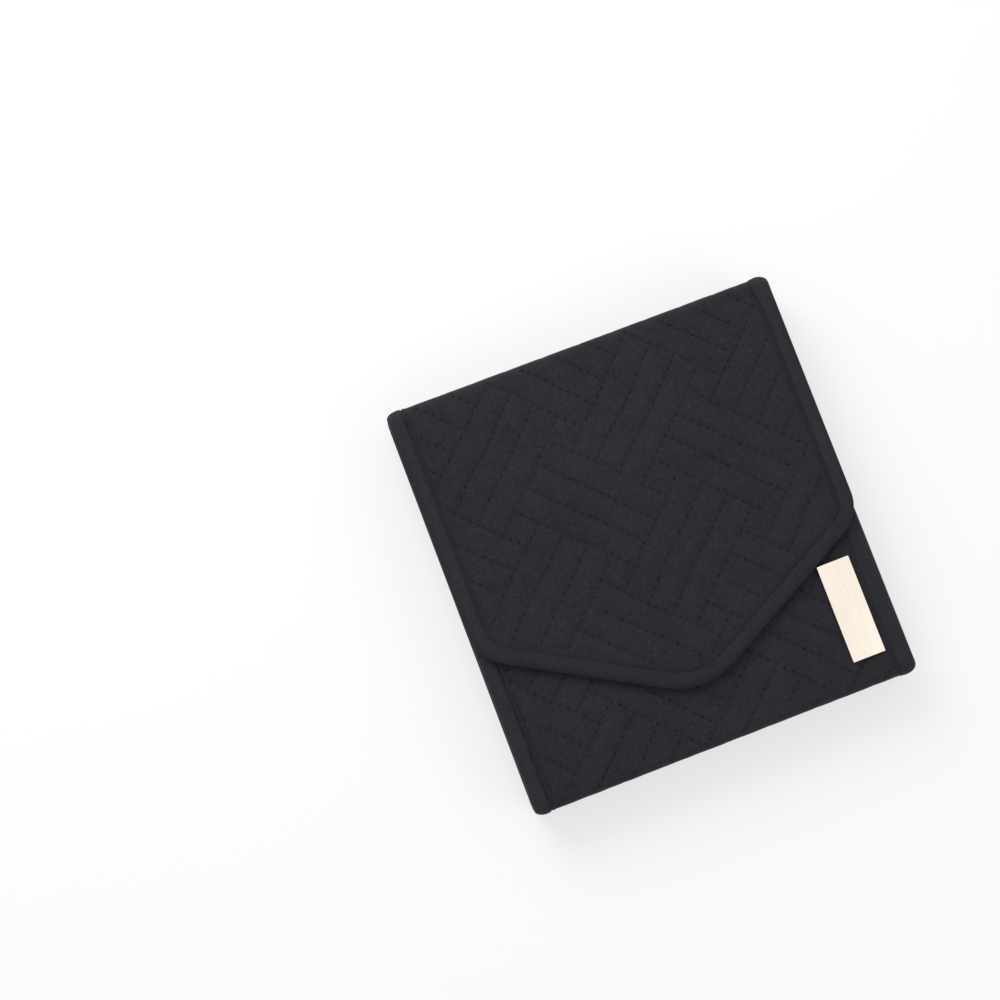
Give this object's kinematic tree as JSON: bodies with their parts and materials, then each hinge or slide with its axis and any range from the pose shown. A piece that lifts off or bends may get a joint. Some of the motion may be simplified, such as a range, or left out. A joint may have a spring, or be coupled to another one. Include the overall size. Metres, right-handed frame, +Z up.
{
  "type": "jewelry organizer case",
  "caption": "Quilted folding travel case for jewelry: a bound pointed flap and a front panel fold over a zip pocket, snap tabs and a ring pad",
  "frame": {"origin": "under the middle of the closed case, on the surface that it lies on", "axes": "+Y from the middle towards the top fold, +X to the right of the closed front, +Z up through the flap"},
  "size_m": [0.18, 0.187, 0.0331],
  "materials": {
    "quilting": "matte charcoal peach-skin cloth, quilted",
    "binding": "matte charcoal folded tape, stitched",
    "lining": "matte dark grey brushed cloth",
    "board": "plain stiffener sheet",
    "elastic": "matte black woven elastic",
    "zip_tape": "matte black woven tape",
    "rose_gold": "polished pale rose gold plating",
    "magnet": "nickel-plated magnet"
  },
  "bodies": {
    "back_panel": {"back_cover": "quilting", "back_board": "board", "back_lining": "lining", "back_binding_left": "binding", "back_binding_right": "binding", "pocket_panel": "lining", "zip_tape_lower": "zip_tape", "zip_tape_upper": "zip_tape", "zip_teeth_lower": "rose_gold", "zip_teeth_upper": "rose_gold", "zip_stop_left": "rose_gold", "zip_stop_right": "rose_gold", "chain_pocket": "lining", "chain_pocket_hem": "elastic", "snap_stud_1": "rose_gold", "snap_stud_2": "rose_gold", "snap_stud_3": "rose_gold"},
    "top_spine": {"top_spine_cover": "quilting", "top_spine_board": "board", "top_spine_lining": "lining", "top_spine_binding_left": "binding", "top_spine_binding_right": "binding"},
    "flap": {"flap_cover": "quilting", "flap_board": "board", "flap_lining": "lining", "flap_binding": "binding", "flap_magnet_left": "magnet", "flap_magnet_right": "magnet", "earring_panel": "lining"},
    "bottom_spine": {"bottom_spine_cover": "quilting", "bottom_spine_board": "board", "bottom_spine_lining": "lining", "bottom_spine_binding_left": "binding", "bottom_spine_binding_right": "binding"},
    "front_panel": {"front_cover": "quilting", "front_board": "board", "front_lining": "lining", "front_binding": "binding", "blank_plate": "rose_gold", "plate_backing": "rose_gold", "front_magnet_left": "magnet", "front_magnet_right": "magnet", "ring_pad": "lining"},
    "zip_slider": {"zip_slider": "rose_gold"},
    "zip_pull": {"zip_pull": "rose_gold"},
    "tab_1": {"tab_1": "lining", "snap_cap_1": "rose_gold"},
    "tab_2": {"tab_2": "lining", "snap_cap_2": "rose_gold"},
    "tab_3": {"tab_3": "lining", "snap_cap_3": "rose_gold"}
  },
  "joints": [
    {"name": "top_spine_fold", "type": "hinge", "parent": "back_panel", "child": "top_spine", "pos_m": [0, 0.09192, 0.00158], "axis": [-1, 0, 0], "range_deg": [0, 90]},
    {"name": "flap_fold", "type": "hinge", "parent": "top_spine", "child": "flap", "pos_m": [0, 0.09192, 0.03152], "axis": [-1, 0, 0], "range_deg": [0, 90]},
    {"name": "bottom_spine_fold", "type": "hinge", "parent": "back_panel", "child": "bottom_spine", "pos_m": [0, -0.09192, 0.00158], "axis": [1, 0, 0], "range_deg": [0, 90]},
    {"name": "front_fold", "type": "hinge", "parent": "bottom_spine", "child": "front_panel", "pos_m": [0, -0.09192, 0.02622], "axis": [1, 0, 0], "range_deg": [0, 90]},
    {"name": "zip_slide", "type": "slide", "parent": "back_panel", "child": "zip_slider", "axis": [1, 0, 0], "range_m": [0, 0.111]},
    {"name": "pull_hinge", "type": "hinge", "parent": "zip_slider", "child": "zip_pull", "pos_m": [-0.05575, 0.007, 0.0116], "axis": [0, -1, 0], "range_deg": [0, 180]},
    {"name": "tab_1_bend", "type": "hinge", "parent": "back_panel", "child": "tab_1", "pos_m": [0, 0.0815, 0.0042], "axis": [-1, 0, 0], "range_deg": [0, 90]},
    {"name": "tab_2_bend", "type": "hinge", "parent": "back_panel", "child": "tab_2", "pos_m": [0, 0.0815, 0.0042], "axis": [-1, 0, 0], "range_deg": [0, 90]},
    {"name": "tab_3_bend", "type": "hinge", "parent": "back_panel", "child": "tab_3", "pos_m": [0, 0.0815, 0.0042], "axis": [-1, 0, 0], "range_deg": [0, 90]}
  ],
  "couplings": [
    {"joint": "flap_fold", "follows": "top_spine_fold", "ratio": 1},
    {"joint": "bottom_spine_fold", "follows": "top_spine_fold", "ratio": 1},
    {"joint": "front_fold", "follows": "top_spine_fold", "ratio": 1}
  ]
}
